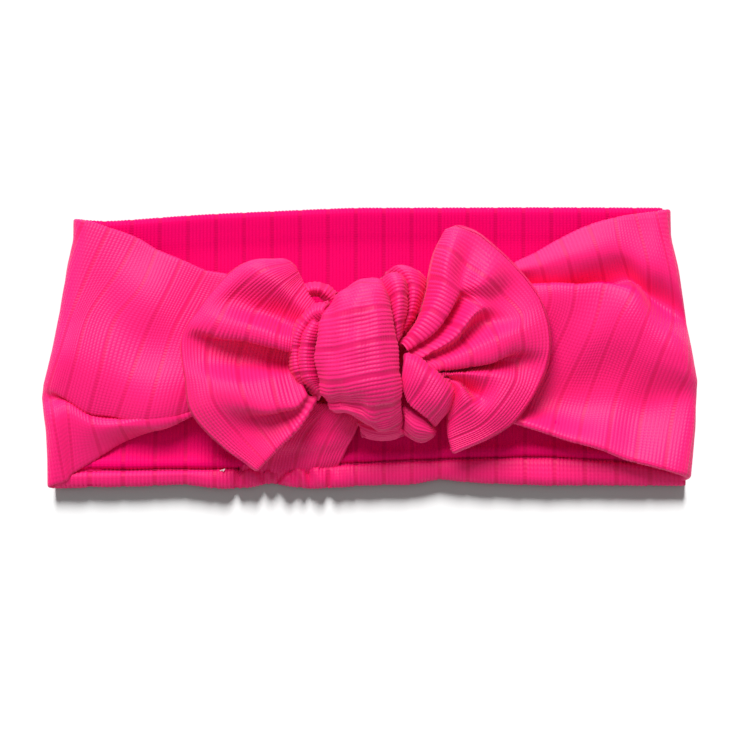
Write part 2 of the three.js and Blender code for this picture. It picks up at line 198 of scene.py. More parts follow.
def knit(name, lit_crest, base, wale_shade_colour, sheen=0.15, gloss=0.3):
    material = bpy.data.materials.new(name)
    material.use_nodes = True
    tree = material.node_tree
    shader = tree.nodes["Principled BSDF"]
    shader.inputs["Roughness"].default_value = 0.52
    shader.inputs["Specular IOR Level"].default_value = gloss
    shader.inputs["Sheen Weight"].default_value = sheen
    shader.inputs["Sheen Roughness"].default_value = 0.45
    shader.inputs["Sheen Tint"].default_value = (1.0, 0.55, 0.7, 1)
    place = node(tree, "ShaderNodeUVMap", uv_map="knit")
    axes = node(tree, "ShaderNodeSeparateXYZ")
    tree.links.new(place.outputs[0], axes.inputs[0])
    across, along = axes.outputs[0], axes.outputs[1]
    rib, on_ribs = rib_profile(tree, across, float(RIBS), GROOVE_SHARE)
    course = maths(tree, "ADD", maths(tree, "MULTIPLY", along, STITCHES),
                   maths(tree, "MULTIPLY", rib, 0.35))
    stitch = maths(tree, "SINE", maths(tree, "MULTIPLY", course, 2 * math.pi))
    noise = node(tree, "ShaderNodeTexNoise")
    noise.inputs["Scale"].default_value = 55.0
    noise.inputs["Detail"].default_value = 3.0
    coordinates = node(tree, "ShaderNodeTexCoord")
    tree.links.new(coordinates.outputs["Object"], noise.inputs["Vector"])
    fuzz = node(tree, "ShaderNodeTexNoise")
    fuzz.inputs["Scale"].default_value = 2600.0
    fuzz.inputs["Detail"].default_value = 2.0
    tree.links.new(coordinates.outputs["Object"], fuzz.inputs["Vector"])

    def mixed(factor, a, b):
        mix = node(tree, "ShaderNodeMix", data_type="RGBA")
        tree.links.new(factor, mix.inputs["Factor"])
        for socket, value in ((mix.inputs["A"], a), (mix.inputs["B"], b)):
            if isinstance(value, tuple):
                socket.default_value = (*value, 1)
            else:
                tree.links.new(value, socket)
        return mix.outputs["Result"]

    # Painted highlight: the rib crests, and the fuzz, are mixed towards the lighter crest colour. Painted
    # shade: the flat wale takes the darker wale colour.
    lift = maths(tree, "ADD", maths(tree, "MULTIPLY", rib, RIB_CREST_HIGHLIGHT),
                 maths(tree, "MULTIPLY", fuzz.outputs["Fac"], FUZZ_LIGHTENS), clamp=True)
    crest_highlighted = mixed(lift, base, lit_crest)
    wale_shaded = mixed(maths(tree, "SUBTRACT", 1.0, on_ribs), crest_highlighted, wale_shade_colour)
    varied = mixed(maths(tree, "MULTIPLY", noise.outputs["Fac"], PATCHES), wale_shaded, base)
    tree.links.new(varied, shader.inputs["Base Color"])
    height = maths(tree, "ADD", maths(tree, "MULTIPLY", stitch, 0.5),
                   maths(tree, "MULTIPLY", fuzz.outputs["Fac"], 1.1))
    bump = node(tree, "ShaderNodeBump")
    bump.inputs["Strength"].default_value = 0.425
    bump.inputs["Distance"].default_value = 0.00012
    tree.links.new(height, bump.inputs["Height"])
    tree.links.new(bump.outputs[0], shader.inputs["Normal"])
    return material


# Each knit gives a lighter crest colour for the painted highlight on the rib crests, a base colour, and a
# darker wale colour for the painted shade in the flat wale.
outer_knit = knit("outer_knit", (0.95, 0.008, 0.18), (0.88, 0.0, 0.145), (0.78, 0.0, 0.12))
# Painted shade: the lining is the same jersey as the outer knit, coloured darker for the inner cloth inside
# the band.
lining_knit = knit("lining_knit", (0.84, 0.0, 0.135), (0.78, 0.0, 0.12), (0.66, 0.0, 0.098),
                   sheen=0.0, gloss=0.05)
knot_knit = knit("knot_knit", (0.94, 0.012, 0.185), (0.76, 0.0, 0.125), (0.7, 0.0, 0.115))
ear_knit = knit("ear_knit", (0.95, 0.01, 0.18), (0.82, 0.0, 0.135), (0.74, 0.0, 0.115))


def thread_finish(name, colour):
    material = bpy.data.materials.new(name)
    material.use_nodes = True
    tree = material.node_tree
    shader = tree.nodes["Principled BSDF"]
    shader.inputs["Roughness"].default_value = 0.6
    shader.inputs["Specular IOR Level"].default_value = 0.2
    coordinates = node(tree, "ShaderNodeTexCoord")
    twist = node(tree, "ShaderNodeTexNoise")
    twist.inputs["Scale"].default_value = 1800.0
    tree.links.new(coordinates.outputs["Object"], twist.inputs["Vector"])
    ramp = node(tree, "ShaderNodeValToRGB")
    ramp.color_ramp.elements[0].color = (*[c * 0.7 for c in colour], 1)
    ramp.color_ramp.elements[1].color = (*colour, 1)
    tree.links.new(twist.outputs["Fac"], ramp.inputs["Fac"])
    tree.links.new(ramp.outputs["Color"], shader.inputs["Base Color"])
    return material


thread = thread_finish("thread", (0.6, 0.0, 0.1))
pale_thread = thread_finish("pale_thread", (0.97, 0.78, 0.82))

# %% [markdown]
# ## From guide lines to cloth
#
# Each sheet is drawn as a few guide lines that follow its ribs, in millimetres. A smooth surface
# is laid through them, with enough rows to carry every rib. Its free borders curl down and under,
# because a pressed tube has a round fold and not a cut edge. A Geometry Nodes tree then raises the
# ribs, and Solidify gives the jersey its thickness.

# %% Smooth surface through guide lines
# Steps across the cloth, each a share of one group of ribs.
FINE = 1 / 48
COARSE = 1 / 32
HIDDEN = 1 / 16
ARC_STEPS = 24


def weights(count, at):
    """Catmull-Rom weights of `count` control points, one row for each place in `at`."""
    at = np.clip(np.asarray(at, float), 0, count - 1)
    first = np.clip(np.floor(at).astype(int), 0, count - 2)
    t = at - first
    four = (
        -0.5 * t + t**2 - 0.5 * t**3,
        1 - 2.5 * t**2 + 1.5 * t**3,
        0.5 * t + 2 * t**2 - 1.5 * t**3,
        -0.5 * t**2 + 0.5 * t**3,
    )
    table = np.zeros((len(at), count))
    rows = np.arange(len(at))
    for step, weight in zip((-1, 0, 1, 2), four):
        index = first + step
        low, high = index < 0, index >= count
        ok = ~(low | high)
        table[rows[ok], index[ok]] += weight[ok]
        table[rows[low], 0] += 2 * weight[low]
        table[rows[low], 1] -= weight[low]
        table[rows[high], count - 1] += 2 * weight[high]
        table[rows[high], count - 2] -= weight[high]
    return table


def lengths(points, axis):
    steps = np.linalg.norm(np.diff(points, axis=axis), axis=2)
    zero = np.zeros_like(np.take(steps, [0], axis=axis))
    return np.concatenate([zero, np.cumsum(steps, axis=axis)], axis=axis)


def surface(guides, along_steps, grooves, repeat, start, curl, fine):
    """Points, across and along maps of the sheet through `guides`.
    curl is the roll radius at the first guide, last guide, first end and last end. With grooves
    "guide" there is a flat wale on each guide. Otherwise one comes each repeat across the middle."""
    guides = np.array(guides, float)
    count, stations = guides.shape[:2]
    ends = [0.0, stations - 1.0]
    if curl[2]:
        ends[0] = curl[2] / max(np.linalg.norm(guides[:, 1] - guides[:, 0], axis=1).mean(), 0.1)
    if curl[3]:
        ends[1] -= curl[3] / max(np.linalg.norm(guides[:, -1] - guides[:, -2], axis=1).mean(), 0.1)
    along_at = np.linspace(max(ends[0], 0), ends[1], along_steps)
    columns = np.einsum("vk,mkc->mvc", weights(stations, along_at), guides)
    rough_at = np.linspace(0, count - 1, ARC_STEPS * (count - 1) + 1)
    rough = np.einsum("um,mvc->uvc", weights(count, rough_at), columns)
    arcs = lengths(rough, 0)[::ARC_STEPS]
    if grooves == "guide":
        groove_at = np.repeat(np.arange(count, dtype=float)[:, None], along_steps, 1)
    else:
        groove_at = np.repeat(arcs.mean(1)[:, None], along_steps, 1) / repeat
    middle = groove_at[:, along_steps // 2]
    steps = np.arange(0, middle[-1], fine)
    index = np.interp(steps, middle, np.arange(count))
    index = np.append(index, count - 1.0)
    points = np.zeros((len(index), along_steps, 3))
    across = np.zeros((len(index), along_steps))
    for column in range(along_steps):
        place = index.copy()
        first = arcs[1, column] - arcs[0, column]
        last = arcs[-1, column] - arcs[-2, column]
        inset_first = min(curl[0] / max(first, 0.1), 0.6)
        inset_last = min(curl[1] / max(last, 0.1), 0.6)
        place += inset_first * np.clip(1 - place, 0, 1)
        place -= inset_last * np.clip(place - (count - 2), 0, 1)
        points[:, column] = weights(count, place) @ columns[:, column]
        across[:, column] = np.interp(place, np.arange(count), groove_at[:, column]) + start
    along = lengths(points, 1) / repeat
    along[:] = along.mean(0)
    return points, across, along


# %% Rolled borders
ROLL_STEPS = 6


def normals_of(points):
    a = np.gradient(points, axis=0)
    b = np.gradient(points, axis=1)
    n = np.cross(a, b)
    return n / np.maximum(np.linalg.norm(n, axis=2, keepdims=True), 1e-9)


def rolled(points, across, along, radius, border, flip, under, repeat):
    """Adds rows that turn one border down, round half a circle, and `under` it.
    border is 0 to 3, in the order of curl in surface."""
    if not radius:
        return points, across, along
    if border >= 2:
        swapped = rolled(points.transpose(1, 0, 2), along.T, across.T, radius, border - 2, not flip,
                         under, repeat)
        return swapped[0].transpose(1, 0, 2), swapped[2].T, swapped[1].T
    if border == 1:
        swapped = rolled(points[::-1], across[::-1], along[::-1], radius, 0, not flip, under, repeat)
        return tuple(grid[::-1] for grid in swapped)
    up = normals_of(points)[0] * (-1 if flip else 1)
    out = points[0] - points[min(4, len(points) - 1)]
    out -= up * (out * up).sum(1, keepdims=True)
    out /= np.maximum(np.linalg.norm(out, axis=1, keepdims=True), 1e-9)
    sign = np.sign((across[0] - across[3]).mean()) or 1.0
    rows, row_across = [], []
    for step in range(1, ROLL_STEPS + 1):
        angle = math.pi * step / ROLL_STEPS
        rows.append(points[0] + out * radius * math.sin(angle) - up * radius * (1 - math.cos(angle)))
        row_across.append(across[0] + sign * radius * angle / repeat)
    for step in (1, 2):
        reach = under * step / 2
        rows.append(rows[ROLL_STEPS - 1] - out * reach)
        row_across.append(row_across[ROLL_STEPS - 1] + sign * reach / repeat)
    return (
        np.concatenate([np.array(rows[::-1]), points]),
        np.concatenate([np.array(row_across[::-1]), across]),
        np.concatenate([np.repeat(along[:1], len(rows), 0), along]),
    )


# %% Soft unevenness
WAVES = 7
WAVES_HIGH = 2.6
QUIET_FADE = 14


def crumpled(points, amount, wave, seed, flip, quiet=None):
    """Moves the sheet along its normal by a few slow waves, as handled cloth has.
    quiet is the distance from the middle where they start to die away towards an end fold."""
    draws = np.random.default_rng(seed)
    up = normals_of(points) * (-1 if flip else 1)
    lift = np.zeros(points.shape[:2])
    for _ in range(WAVES):
        direction = draws.normal(size=3)
        direction *= 2 * math.pi / (wave * draws.uniform(0.7, 1.6)) / np.linalg.norm(direction)
        lift += np.sin(points @ direction + draws.uniform(0, 2 * math.pi))
    if quiet:
        lift = lift * np.clip(1 - (np.abs(points[..., 0]) - quiet) / QUIET_FADE, 0.1, 1)
    return points + up * (lift * amount / WAVES_HIGH)[..., None]


# %% Rib relief tree
def shape_tree(name, settings):
    """An empty tree that takes a shape, its named settings and a finish."""
    tree = bpy.data.node_groups.new(name, "GeometryNodeTree")
    face = tree.interface
    face.new_socket("Geometry", in_out="INPUT", socket_type="NodeSocketGeometry")
    for label, value in settings:
        face.new_socket(label, in_out="INPUT", socket_type="NodeSocketFloat").default_value = value
    face.new_socket("Finish", in_out="INPUT", socket_type="NodeSocketMaterial")
    face.new_socket("Geometry", in_out="OUTPUT", socket_type="NodeSocketGeometry")
    return tree, tree.nodes.new("NodeGroupInput"), tree.nodes.new("NodeGroupOutput")


def give_out(tree, shape, finish, outward):
    """Ends a tree: makes instances real and puts the finish on."""
    real = tree.nodes.new("GeometryNodeRealizeInstances")
    tree.links.new(shape, real.inputs[0])
    paint = tree.nodes.new("GeometryNodeSetMaterial")
    tree.links.new(real.outputs[0], paint.inputs["Geometry"])
    tree.links.new(finish, paint.inputs["Material"])
    tree.links.new(paint.outputs[0], outward.inputs[0])


def rib_tree():
    tree, inward, outward = shape_tree("rib relief", [
        ("Ribs per repeat", RIBS), ("Groove share", GROOVE_SHARE), ("Relief depth", 0.0003)])
    across = node(tree, "GeometryNodeInputNamedAttribute", data_type="FLOAT")
    across.inputs["Name"].default_value = "across"
    rib, _ = rib_profile(tree, across.outputs[0], inward.outputs["Ribs per repeat"],
                         inward.outputs["Groove share"])
    height = maths(tree, "MULTIPLY", rib, inward.outputs["Relief depth"])
    push = node(tree, "ShaderNodeVectorMath", operation="SCALE")
    tree.links.new(tree.nodes.new("GeometryNodeInputNormal").outputs[0], push.inputs[0])
    tree.links.new(height, push.inputs["Scale"])
    move = tree.nodes.new("GeometryNodeSetPosition")
    tree.links.new(inward.outputs["Geometry"], move.inputs["Geometry"])
    tree.links.new(push.outputs[0], move.inputs["Offset"])
    give_out(tree, move.outputs[0], inward.outputs["Finish"], outward)
    return tree


rib_relief = rib_tree()


def settle(obj, tree, values, thickness=None):
    """Runs the tree, and Solidify if there is a thickness, and keeps the result as a plain mesh."""
    grow = obj.modifiers.new("relief", "NODES")
    grow.node_group = tree
    for item in tree.interface.items_tree:
        if item.in_out == "INPUT" and item.name in values:
            grow[item.identifier] = values[item.name]
    if thickness:
        wall = obj.modifiers.new("jersey", "SOLIDIFY")
        wall.thickness = thickness * MM
        wall.offset = -1
    depsgraph = bpy.context.evaluated_depsgraph_get()
    depsgraph.update()
    mesh = bpy.data.meshes.new_from_object(
        obj.evaluated_get(depsgraph), preserve_all_data_layers=True, depsgraph=depsgraph)
    obj.modifiers.clear()
    old = obj.data
    obj.data = mesh
    bpy.data.meshes.remove(old)
    mesh.name = obj.name
    mesh.polygons.foreach_set("use_smooth", [True] * len(mesh.polygons))


# %% Cloth piece
JERSEY = 0.8
SMALLEST_FLAT = 10.5


def grid_object(name, points, across, along, flip):
    rows, columns = points.shape[:2]
    corner = np.arange(rows * columns).reshape(rows, columns)
    faces = np.stack([corner[:-1, :-1], corner[1:, :-1], corner[1:, 1:], corner[:-1, 1:]], -1)
    faces = faces.reshape(-1, 4)
    if flip:
        faces = faces[:, ::-1]
    mesh = bpy.data.meshes.new(name)
    mesh.from_pydata((points.reshape(-1, 3) * MM).tolist(), [], faces.tolist())
    across_map = mesh.attributes.new("across", "FLOAT", "POINT")
    across_map.data.foreach_set("value", across.reshape(-1).astype(np.float32))
    knit_map = mesh.uv_layers.new(name="knit")
    loops = faces.reshape(-1)
    flat = np.stack([across.reshape(-1)[loops], along.reshape(-1)[loops]], -1)
    knit_map.data.foreach_set("uv", flat.reshape(-1).astype(np.float32))
    return in_scene(name, mesh)


def cloth(name, guides, along_steps, finish, replaced, curl=(0, 0, 0, 0), grooves="middle",
          start=0.0, repeat=REPEAT, relief=0.28, shape=None, thickness=JERSEY, under=2.5,
          face=(0, 0, 1), fine=FINE, crosswise=False, crumple=(0.25, 16), seed=1, quiet=None):
    """One sheet of ribbed cloth, finished as a plain mesh. face is the way its right side looks,
    and crosswise is for guides that are drawn across the ribs."""
    if crosswise:
        guides = np.array(guides, float).transpose(1, 0, 2)
    points, across, along = surface(guides, along_steps, grooves, repeat, start, curl, fine)
    if shape:
        points = shape(points)
    middle = normals_of(points)[points.shape[0] // 2, points.shape[1] // 2]
    flip = float(middle @ np.array(face)) < 0
    points = crumpled(points, crumple[0], crumple[1], seed, flip, quiet)
    for border in range(4):
        points, across, along = rolled(points, across, along, curl[border], border, flip, under, repeat)
    width = float(lengths(points, 0)[-1].mean())
    length = float(lengths(points, 1)[:, -1].mean())
    obj = grid_object(name, points, across, along, flip)
    settle(obj, rib_relief, {"Relief depth": relief * MM, "Finish": finish}, thickness)
    triangles = sum(len(p.vertices) - 2 for p in obj.data.polygons)
    print(f"{name}: {width:.0f} x {length:.0f} mm, {triangles} triangles")
    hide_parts(*replaced)
    # Width and length are raised to at least SMALLEST_FLAT here; nothing reads them after this.
    width, length = max(width, SMALLEST_FLAT) * MM, max(length, SMALLEST_FLAT) * MM
    return obj


def lowered(guides, drop, pull=0.0):
    """The same guides, nearer the table, for the inner cloth of the tube."""
    guides = np.array(guides, float)
    guides[..., 2] -= drop
    guides[:, 0, 1] -= pull
    guides[:, -1, 1] += pull
    return guides


# %% [markdown]
# ## The back of the band
#
# Behind the knot the tube lies flat on the table: the outer cloth underneath, the inner cloth on
# top of it. The outer cloth comes round the lower border and ends at the long seam, so a narrow
# strip of it shows there. Its ribs stand upright. Both are surfaces through one guide for each
# flat wale.

# %% Back outlines
BACK_GROOVES = np.arange(-102.9, 103, REPEAT)
EDGE_X = [-112, -104, -91, -60, -30, -7, 60, 104, 112]
EDGE_Y = [44.6, 44.6, 43.9, 46.2, 47.6, 48.6, 48.8, 48.6, 48.5]
HEM_X = [-112, -108, -72, -66, -62, -46, -38, -26, -22, -14, 3, 13, 23, 39, 60, 108, 112]
HEM_Y = [-49.2, -49.3, -48.5, -47.4, -48.8, -49.9, -47.4, -49, -49.8, -49.4, -48.1, -48.5, -46.4,
         -47.8, -48.5, -48.7, -48.7]
SEAM_X = [-112, -100, -55, -20, 0, 30, 60, 90, 104, 112]
SEAM_Y = [-43.5, -42.9, -42.4, -41.2, -40.2, -38.8, -38.2, -40.0, -43.4, -46.6]
BACK_REACH_Y = [-50, -17, 16, 49]
BACK_REACH = [111.0, 110.0, 106.0, 102.6]


def spread(points):
    """The band is wider at its lower border, so the outer ribs lean out there."""
    out = points.copy()
    reach = np.interp(points[..., 1], BACK_REACH_Y, BACK_REACH)
    share = np.abs(points[..., 0]) / BACK_GROOVES[-1]
    out[..., 0] += np.sign(points[..., 0]) * (reach - BACK_GROOVES[-1]) * share**4
    return out


# Each crease has a place along the hem, a lean, a depth and a width.
PINCHES = [(-46.5, 0.1, 1.8, 1.3), (-30.5, 0.9, 1.9, 1.2), (-22, -0.1, 1.6, 1.0),
           (-14, 0.2, 0.9, 1.3), (-38, -0.4, 0.9, 1.2)]
JOIN_X = -28
JOIN_REACH = 18
RIPPLE = 0.6


def gathered_hem(points):
    """The hand-closed join draws the hem into a few sharp creases."""
    out = spread(points)
    x, y, z = out[..., 0], out[..., 1], out[..., 2]
    on_hem = np.clip((z - 1.2) / 1.5, 0, 1)
    for place, lean, depth, width in PINCHES:
        off = (x - place - lean * (y + 45)) / width
        out[..., 2] -= on_hem * depth * np.exp(-(off**2))
    ripple = np.sin(x * 1.1 + 0.5 * y) * np.exp(-(((x - JOIN_X) / JOIN_REACH) ** 2))
    out[..., 2] += on_hem * RIPPLE * ripple
    return out


def top_y(x):
    return float(np.interp(x, EDGE_X, EDGE_Y))


def hem_y(x):
    return float(np.interp(x, HEM_X, HEM_Y))


def seam_y(x):
    return float(np.interp(x, SEAM_X, SEAM_Y))


# %% Back outer cloth
def outer_rib(x):
    top, hem, seam = top_y(x), hem_y(x), seam_y(x)
    return [(x, top - 0.3, 0.9), (x, top * 0.5, 0.8), (x, 0, 0.8), (x, hem * 0.5, 0.8),
            (x, hem + 3.5, 0.8), (x, hem + 1.2, 1.0), (x, hem + 0.1, 2.0), (x, hem + 1.0, 3.6),
            (x, hem + 3.4, 4.7), (x, seam - 1.5, 4.5), (x, seam - 0.2, 3.0), (x, seam + 1.6, 2.4)]


back_outer = cloth(
    "back_outer_cloth", [outer_rib(x) for x in BACK_GROOVES], 44, outer_knit,
    ["back_outer_layer", "hem_roll_left", "hem_roll_right"], grooves="guide", face=(0, 0, -1),
    curl=(0, 0, 0.8, 0), thickness=0.7, fine=COARSE, shape=gathered_hem, crumple=(0.12, 12))
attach(back_outer, "back")
shadow_makers.objects.link(back_outer)


# %% Back lining
def lining_rib(x):
    top, seam = top_y(x), seam_y(x)
    return [(x, top, 6.6), (x, top - 2.5, 6.4), (x, top - 8, 5.2), (x, top - 15, 3.9), (x, top * 0.3, 3.2),
            (x, 0, 3.1), (x, seam * 0.5, 3.1), (x, seam + 7, 3.4), (x, seam + 3, 5.0), (x, seam + 1, 4.9),
            (x, seam + 0.1, 3.6)]


back_lining = cloth(
    "back_lining_cloth", [lining_rib(x) for x in BACK_GROOVES], 40, lining_knit,
    ["back_lining", "closing_gather"], grooves="guide", curl=(0, 0, 1.6, 0), under=4.0,
    thickness=0.7, shape=spread, relief=0.2, crumple=(0.2, 30))
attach(back_lining, "back")

# %% [markdown]
# ## The left side
#
# The band turns over at the left end and comes forward to the knot. Its guides are the flat
# wales, each drawn from the top border down to the tucked lower border, and the last of them is
# inside the knot. They lie on a flat plan that runs on past the end, and a small rule wraps the
# plan round the end fold.

# %% Wrap round an end fold
LEFT_END = [(44.3, -104), (37.8, -104), (28.8, -106), (12.8, -108.6), (-0.3, -111.4), (-12.8, -114.6),
            (-17.6, -115.2), (-29, -113.6), (-38, -113.4), (-49, -113.6)]
RIGHT_END = [(49, 105.4), (38.4, 105.4), (27.3, 108), (8.3, 111), (-11.7, 114.8), (-28, 114),
             (-46.7, 112.2)]
TIGHTEST_TURN = 1.6
UNDERSIDE = 0.9


def end_wrap(side, outline, depth=0.0):
    """Wraps whatever is drawn past the end outline round and under, by half a circle."""
    ys = [y for y, _ in outline][::-1]
    xs = [abs(x) for _, x in outline][::-1]

    def shape(points):
        out = points.copy()
        x, y, z = points[..., 0] * side, points[..., 1], points[..., 2]
        end = np.interp(y, ys, xs) - depth
        radius = np.maximum((z - depth) / 2, TIGHTEST_TURN)
        past = x - (end - radius)
        angle = np.clip(past / radius, 0, math.pi)
        flat = np.maximum(past - math.pi * radius, 0)
        bent = past > 0
        turned = radius * (1 + np.cos(angle)) + UNDERSIDE * (1 - np.cos(angle)) / 2
        out[..., 0] = np.where(bent, end - radius + radius * np.sin(angle) - flat, x) * side
        out[..., 2] = np.where(bent, depth + turned, z)
        return out

    return shape


# %% Left side cloth
LAYER_DROP = 2.1
LINING_INSET = 1.6
LINING_JERSEY = 0.5
KNOT_ENTRY = 14.0
LEFT_HEIGHTS = [12.0, 12.2, 13.6, 15.8, 11.4, 8.4, 11.8, 5.4]
LEFT_RIBS = [
    [(-112, 45.4), (-120, 28), (-128, 8), (-131.3, -3), (-134, -12), (-134, -18), (-133, -27), (-130, -50)],
    [(-100, 44.9), (-108, 28), (-115, 10), (-118.3, -2.1), (-121, -12), (-121, -18), (-120, -27),
     (-117, -50)],
    [(-91, 42.2), (-98, 27), (-105, 10), (-109.1, -2.9), (-112.5, -13.5), (-112, -18), (-110.5, -26),
     (-107, -48)],
    [(-81.6, 38.6), (-88, 26.5), (-98, 12), (-102.6, -4.1), (-106.4, -17.2), (-106.4, -17),
     (-105.4, -24), (-104, -45)],
    [(-74.5, 34.6), (-80, 21), (-89.5, 9), (-94.3, -8.4), (-98.3, -22.6), (-98, -21.2), (-97, -27.5),
     (-94, -38.4)],
    [(-65.7, 30.8), (-71, 19), (-78, 5), (-83.8, -11.1), (-88.6, -24.3), (-88.3, -22.9),
     (-87.4, -27.2), (-85, -32.6)],
    [(-57.5, 27), (-63, 17), (-69.5, 4), (-74.4, -11.7), (-78.4, -24.6), (-78.2, -23.7),
     (-77.6, -25.6), (-76, -26.8)],
    [(-48, 25), (-53, 14), (-59, 2), (-63.5, -11.5), (-67.2, -22.6), (-67, -23.2), (-66.8, -23.7),
     (-66.5, -24.2)],
    [(-38, 18), (-43, 9), (-48, -1), (-51.3, -11.7), (-54, -20.5), (-54, -21.2), (-54, -21.8),
     (-53.5, -22.4)],
    [(-24, 10), (-27, 4), (-30, -3), (-32.2, -11.2), (-34, -18), (-34, -19.5), (-34, -20), (-33.5, -20.5)],
]
LEFT_ENTRY = [(-12, 7), (-12, 5), (-12, 2.5), (-12, 0), (-12.5, -5), (-12.5, -6.2), (-12.5, -7.4),
              (-12.5, -8.5)]


def with_heights(ribs, heights):
    return [[(x, y, z) for (x, y), z in zip(rib, heights)] for rib in ribs]


def left_guides():
    return with_heights(LEFT_RIBS, LEFT_HEIGHTS) + [[(x, y, KNOT_ENTRY) for x, y in LEFT_ENTRY]]


left_side = cloth(
    "left_side_cloth", left_guides(), 64, outer_knit,
    ["left_fold_outer", "left_panel_outer", "left_panel_tuck"],
    curl=(0, 0, 0.7, 0.9), grooves="guide", shape=end_wrap(-1, LEFT_END), relief=0.13,
    crumple=(1.4, 30), seed=4, quiet=90)
left_lining = cloth(
    "left_side_lining", lowered(left_guides(), LAYER_DROP, LINING_INSET), 40, lining_knit,
    ["left_fold_lining", "left_panel_lining"], grooves="guide", relief=0.1, fine=HIDDEN,
    shape=end_wrap(-1, LEFT_END, LAYER_DROP), thickness=LINING_JERSEY, crumple=(0.1, 34), seed=4)
for piece in (left_side, left_lining):
    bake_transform(piece)

# %% Left neck
# The stretch that leaves the knot below and comes down to the hand-closed join.
LEFT_NECK = [
    [(-1.5, -22, 12), (-4.5, -29, 10.5), (-8, -36, 8), (-10.5, -41, 4.6), (-11, -43.5, 3.2)],
    [(-8, -21, 13), (-13, -29, 12), (-16.5, -36, 8.6), (-18.5, -41.5, 5), (-19, -44, 3.2)],
    [(-14, -20, 13), (-21, -28, 11), (-25, -35, 7.8), (-26.5, -41.8, 4.6), (-27, -44, 3.2)],
    [(-20, -19, 13), (-28, -27, 12), (-33, -34.5, 9), (-35.5, -41.5, 5), (-36, -44, 3.2)],
    [(-26, -18, 12), (-36, -26, 11), (-42, -33.5, 8), (-45, -40.5, 4.8), (-46, -43.5, 3.2)],
]
left_neck = cloth("left_neck_cloth", LEFT_NECK, 30, outer_knit, ["left_neck"],
                  curl=(0.9, 0.9, 0, 0), grooves="guide", crumple=(0.5, 9), seed=6)
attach(left_neck, "front")

# %% [markdown]
# ## The right side
#
# The right side comes forward in the same way. Here the upper border is turned down once, so a
# narrow strip shows above the main fold.

# %% Right side cloth
RIGHT_HEIGHTS = [12.0, 14.2, 7.2, 15.0, 14.6, 6.8, 15.2]
END_HEIGHT = 12.0
LEVEL_FROM = 8
LEVEL_OVER = 4.0
RIGHT_ENTRY = [(3, 9), (3, 8), (3, 6.6), (3, 5.6), (3, 1), (3, -4), (3, -8)]
RIGHT_RIBS = [
    [(20, 13), (20, 12), (20, 10.5), (20, 9.5), (19, 4), (17, -6), (15, -15)],
    [(36, 22), (37, 20), (38, 17), (38, 17.5), (36, 8), (29, -9), (24, -18)],
    [(50, 29.5), (51, 26), (52, 20), (52, 21), (50, 10), (40, -12), (33, -20)],
    [(57.6, 33.2), (59.8, 28), (62.3, 20.2), (62.3, 21.5), (61.8, 12.3), (49, -14), (43, -22)],
    [(66.2, 38.2), (69.1, 30.8), (71.9, 20.4), (71.9, 21.5), (69.1, 8.7), (57, -16.4), (53, -26)],
    [(76.2, 43), (79.8, 32.5), (82.6, 21.3), (81.9, 22.3), (77.6, 6.5), (67, -17.6), (63.4, -29.2)],
    [(85.5, 45.6), (87.6, 33.2), (91.2, 23.2), (91.2, 18.6), (85.5, 7), (76.2, -18.8), (72.6, -32.7)],
    [(92.6, 47.2), (97, 29.4), (98, 18), (96.6, 10.8), (93, 0.4), (86, -18.6), (82.6, -36)],
    [(99.8, 48.3), (104.8, 26.4), (106.4, 12.8), (104.6, 4.4), (101.2, -4), (96, -20.6), (92.6, -39.5)],
    [(104.8, 49.2), (109.6, 23), (113, 8), (113, 0), (111.9, -8), (106.9, -19.9), (102.6, -43)],
    [(112, 49.4), (118, 22), (123, 6), (124, -2), (122, -10), (117, -20), (112, -46)],
    [(122, 49.4), (128, 31), (132, 18), (134, 4), (132, -8), (127, -21), (122, -48)],
]


def right_guides():
    """The rows level out towards the end, so that the fold there is an even one."""
    rows = [[(x, y, KNOT_ENTRY) for x, y in RIGHT_ENTRY]]
    for index, rib in enumerate(RIGHT_RIBS):
        fade = np.clip((index - LEVEL_FROM) / LEVEL_OVER, 0, 1)
        heights = [z * (1 - fade) + END_HEIGHT * fade for z in RIGHT_HEIGHTS]
        rows += with_heights([rib], heights)
    return rows


right_side = cloth(
    "right_side_cloth", right_guides(), 64, outer_knit,
    ["right_fold_outer", "right_panel_outer", "right_upper_pleat"],
    curl=(0, 0, 0.8, 1.3), grooves="guide", shape=end_wrap(1, RIGHT_END), relief=0.13,
    crumple=(1.4, 30), seed=9, quiet=90)
right_lining = cloth(
    "right_side_lining", lowered(right_guides(), LAYER_DROP, LINING_INSET), 40, lining_knit,
    ["right_fold_lining", "right_panel_lining"], grooves="guide", relief=0.1, fine=HIDDEN,
    shape=end_wrap(1, RIGHT_END, LAYER_DROP), thickness=LINING_JERSEY, crumple=(0.1, 34), seed=9)
for piece in (right_side, right_lining):
    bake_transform(piece)

# %% [markdown]
# ## The knot
#
# The tube is pulled tight over itself here, so its ribs spread and bend. The wrap, the two rolls
# beside it, the small loop and the folds above and below are each a sheet over a padded middle.

